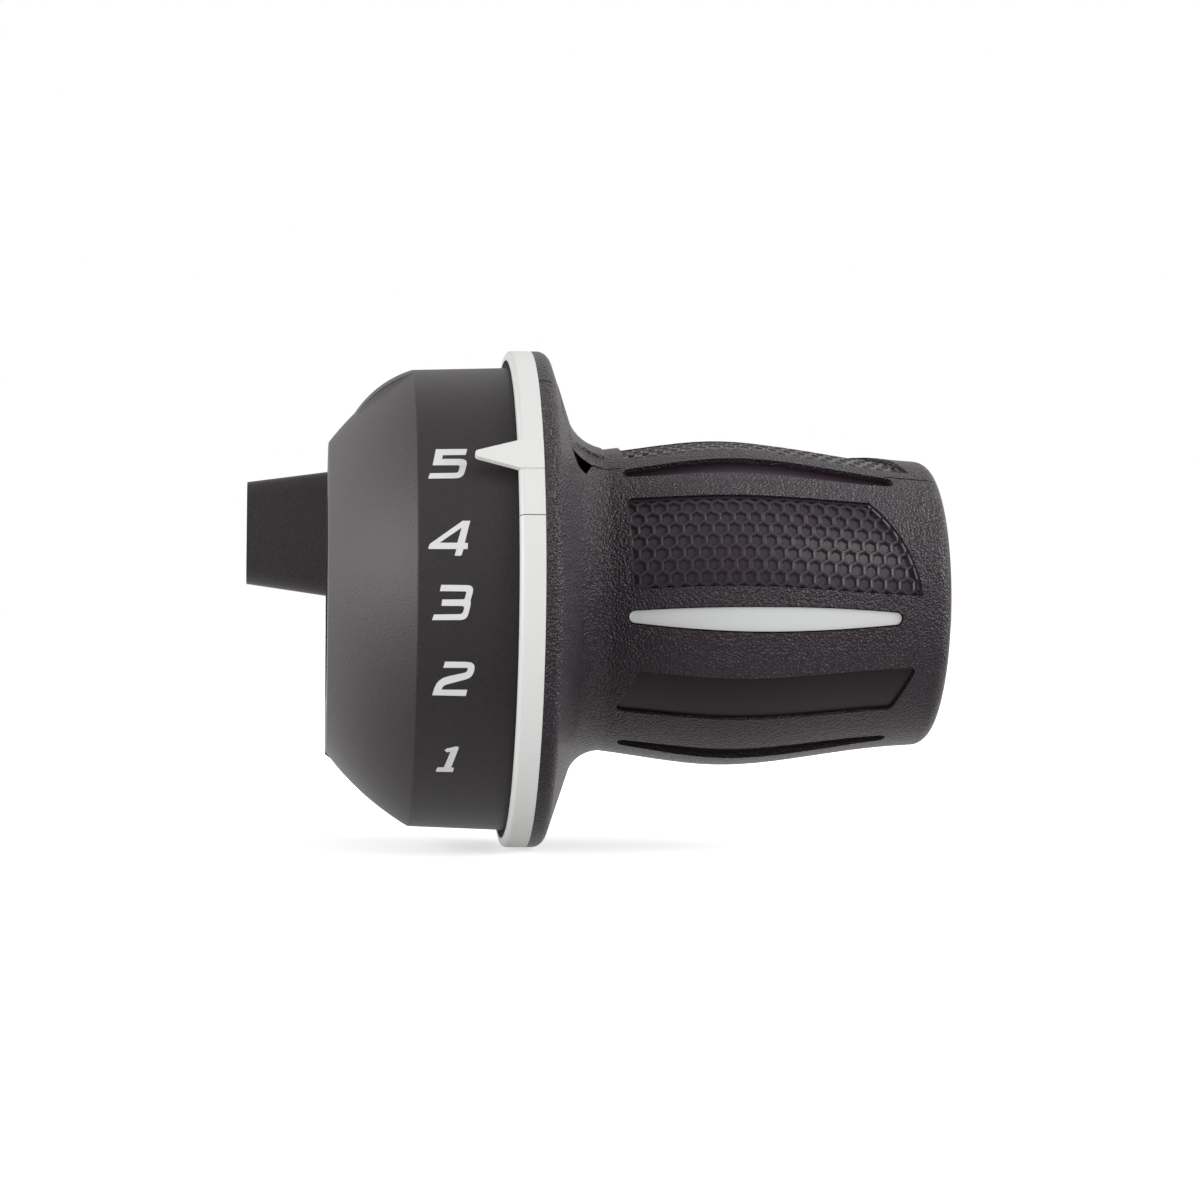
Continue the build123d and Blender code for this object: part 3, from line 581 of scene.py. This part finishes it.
def white_paper(lowest):
    """Matt paper that glows to white away from the part; mirrored, it is bright behind and on the left."""
    material, tree = new_tree("white_paper")
    seen, mirrored = ray_kinds(tree)
    place = add(tree, "ShaderNodeTexCoord").outputs["Object"]
    distance = add(tree, "ShaderNodeVectorMath", {"operation": "DISTANCE"}, {
        0: place, 1: (MIDDLE.x, MIDDLE.y, lowest),
    })
    far = add(tree, "ShaderNodeMapRange", inputs={
        "Value": distance.outputs["Value"], "From Min": GLOW_NEAR, "From Max": GLOW_FAR,
        "To Min": GLOW_LEAST, "To Max": 1.0,
    })
    paper = add(tree, "ShaderNodeBsdfDiffuse", inputs={"Color": linear("#f2f2f2")})
    glow = add(tree, "ShaderNodeEmission", inputs={
        "Color": linear("#ffffff"), "Strength": far.outputs[0],
    })
    lit = add(tree, "ShaderNodeAddShader", inputs={0: paper.outputs[0], 1: glow.outputs[0]})
    sheen = add(tree, "ShaderNodeEmission", inputs={
        "Color": linear("#ffffff"), "Strength": bright_sides(tree, place, FLOOR_SIDES),
    })
    unseen = add(tree, "ShaderNodeMixShader", inputs={
        0: mirrored, 1: paper.outputs[0], 2: sheen.outputs[0],
    })
    shown = add(tree, "ShaderNodeMixShader", inputs={
        0: seen, 1: unseen.outputs[0], 2: lit.outputs[0],
    })
    finish_surface(tree, shown)
    return material


def studio_floor():
    lowest = cad_box[0].z - FLOOR_GAP
    bm = bmesh.new()
    bmesh.ops.create_grid(bm, x_segments=1, y_segments=1, size=FLOOR_HALF)
    bmesh.ops.translate(bm, verts=bm.verts, vec=(0, 0, lowest))
    mesh = bpy.data.meshes.new("studio_floor")
    bm.to_mesh(mesh)
    bm.free()
    mesh.materials.append(white_paper(lowest))
    floor = place_in_scene("studio_floor", mesh)


def white_surroundings():
    """White to the camera; mirrored, it is bright on the left, above and behind."""
    world = bpy.data.worlds.new("studio")
    bpy.context.scene.world = world
    world.use_nodes = True
    tree = world.node_tree
    tree.nodes.clear()
    seen, mirrored = ray_kinds(tree)
    way = add(tree, "ShaderNodeTexCoord").outputs["Generated"]
    unseen = add(tree, "ShaderNodeMix", inputs={
        "Factor": mirrored, "A": ROOM_LIGHT, "B": bright_sides(tree, way, ROOM_SIDES),
    })
    level = add(tree, "ShaderNodeMix", inputs={
        "Factor": seen, "A": unseen.outputs["Result"], "B": 1.0,
    })
    room = add(tree, "ShaderNodeBackground", inputs={
        "Color": linear("#ffffff"), "Strength": level.outputs["Result"],
    })
    add(tree, "ShaderNodeOutputWorld", inputs={"Surface": room.outputs[0]})


def softbox(name, place, width, height, power):
    """Flat lamp that faces the part."""
    lamp = bpy.data.lights.new(name, "AREA")
    lamp.shape = "RECTANGLE"
    lamp.size, lamp.size_y = width, height
    lamp.energy = power
    holder = place_in_scene(name, lamp)
    holder.location = place
    holder.rotation_euler = (MIDDLE - Vector(place)).to_track_quat("-Z", "Y").to_euler()


def photo_camera():
    """Camera in front of the part, a little to its left and a little askew, as in the photograph."""
    data = bpy.data.cameras.new("photo_camera")
    data.lens, data.sensor_width = CAMERA_LENS, CAMERA_SENSOR
    data.clip_start = CAMERA_CLIP
    camera = place_in_scene("photo_camera", data)
    back = Vector((-sin(CAMERA_YAW), -cos(CAMERA_YAW), 0))
    right = Vector((cos(CAMERA_YAW), -sin(CAMERA_YAW), 0))
    up = Vector((0, 0, 1))
    rolled_right = right * cos(CAMERA_ROLL) + up * sin(CAMERA_ROLL)
    rolled_up = up * cos(CAMERA_ROLL) - right * sin(CAMERA_ROLL)
    turn = Matrix((rolled_right, rolled_up, back)).transposed()
    camera.matrix_world = Matrix.Translation(CAMERA_TARGET + back * CAMERA_DISTANCE) @ turn.to_4x4()
    bpy.context.scene.camera = camera


studio_floor()
white_surroundings()
for lamp in LAMPS:
    softbox(*lamp)
photo_camera()
bpy.context.scene.view_settings.view_transform = "Standard"
